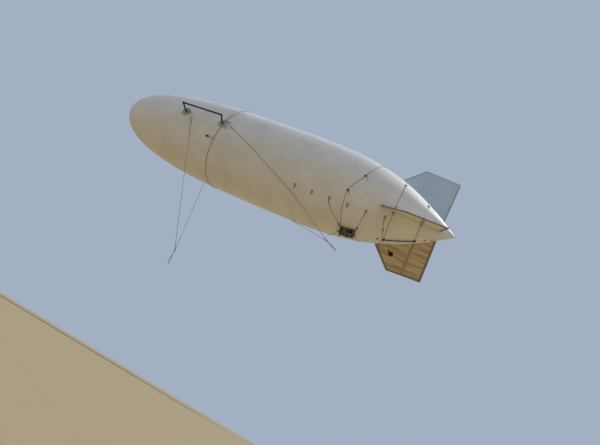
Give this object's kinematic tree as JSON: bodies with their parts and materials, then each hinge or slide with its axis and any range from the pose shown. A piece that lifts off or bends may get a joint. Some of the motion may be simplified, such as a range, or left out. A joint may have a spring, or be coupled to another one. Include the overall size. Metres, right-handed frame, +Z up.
{
  "type": "tethered aerostat",
  "caption": "Tethered aerostat: streamlined gas envelope, inverted-Y fins, handling frames, bridles to turning swivels and a sensor case with a gimbal on the belly.",
  "frame": {"origin": "centre of buoyancy, on the envelope's long axis 6.15 m behind the nose tip", "axes": "+X along the envelope's axis from the nose to the tail, +Y to starboard, +Z up"},
  "size_m": [12.5, 3.8072, 6.7263],
  "materials": {
    "envelope": "satin coated fabric with faint welded seams",
    "patch": "matt grey reinforcement fabric",
    "fin": "thin coated fabric, slightly slack",
    "dark_tube": "black composite tube",
    "webbing": "dark woven webbing",
    "rope": "dark braided rope",
    "red": "glossy red",
    "case": "brown paint, satin",
    "steel": "brushed",
    "black": "matt black"
  },
  "bodies": {
    "airframe": {"envelope": "envelope", "gas_valve": "steel", "fin_starboard_cap": "red", "belt_front": "webbing", "belt_rear": "webbing", "keel_rod": "dark_tube", "keel_tab_front": "webbing", "keel_tab_middle": "webbing", "keel_tab_rear": "webbing", "girth_cable": "rope", "girth_tensioner": "black", "payload_case": "case", "side_camera": "black", "gimbal_base": "black", "hull_strap": "rope", "fin_top_frame": "dark_tube", "fin_top_cover": "fin", "fin_port_frame": "dark_tube", "fin_port_cover": "fin", "fin_starboard_frame": "dark_tube", "fin_starboard_cover": "fin", "finger_port_1": "patch", "finger_port_2": "patch", "finger_port_3": "patch", "finger_port_4": "patch", "finger_port_5": "patch", "finger_port_6": "patch", "foot_port_front": "patch", "payload_line_port_front": "rope", "foot_port_rear": "patch", "payload_line_port_rear": "rope", "handling_frame_port": "dark_tube", "toggle_line_port": "rope", "nose_bridle_patch_port": "patch", "nose_bridle_line_port": "rope", "main_bridle_patch_port": "patch", "main_bridle_line_port": "rope", "finger_starboard_1": "patch", "finger_starboard_2": "patch", "finger_starboard_3": "patch", "finger_starboard_4": "patch", "finger_starboard_5": "patch", "finger_starboard_6": "patch", "foot_starboard_front": "patch", "payload_line_starboard_front": "rope", "foot_starboard_rear": "patch", "payload_line_starboard_rear": "rope", "handling_frame_starboard": "dark_tube", "toggle_line_starboard": "rope", "nose_bridle_patch_starboard": "patch", "nose_bridle_line_starboard": "rope", "main_bridle_patch_starboard": "patch", "main_bridle_line_starboard": "rope", "nose_bridle_junction": "steel", "main_bridle_junction": "steel"},
    "main_swivel": {"main_bridle_swivel": "steel"},
    "nose_swivel": {"nose_bridle_swivel": "steel"},
    "gimbal_yoke": {"gimbal_yoke": "black"},
    "gimbal_ball": {"gimbal_ball": "black"}
  },
  "joints": [
    {"name": "main_swivel_turn", "type": "hinge", "parent": "airframe", "child": "main_swivel", "pos_m": [3.02792, 0, -1.90373], "axis": [0.9071, 0, -0.421], "continuous": true},
    {"name": "nose_swivel_turn", "type": "hinge", "parent": "airframe", "child": "nose_swivel", "pos_m": [-1.11699, 0, -4.35795], "axis": [0.177, 0, -0.9842], "continuous": true},
    {"name": "gimbal_pan", "type": "hinge", "parent": "airframe", "child": "gimbal_yoke", "pos_m": [3.38191, -0.19911, -1.51242], "axis": [-0.147, 0.1291, 0.9807], "range_deg": [-170, 170]},
    {"name": "gimbal_tilt", "type": "hinge", "parent": "gimbal_yoke", "child": "gimbal_ball", "pos_m": [3.38743, -0.20397, -1.54929], "axis": [0, 0.9914, -0.1305], "range_deg": [-90, 20]}
  ]
}
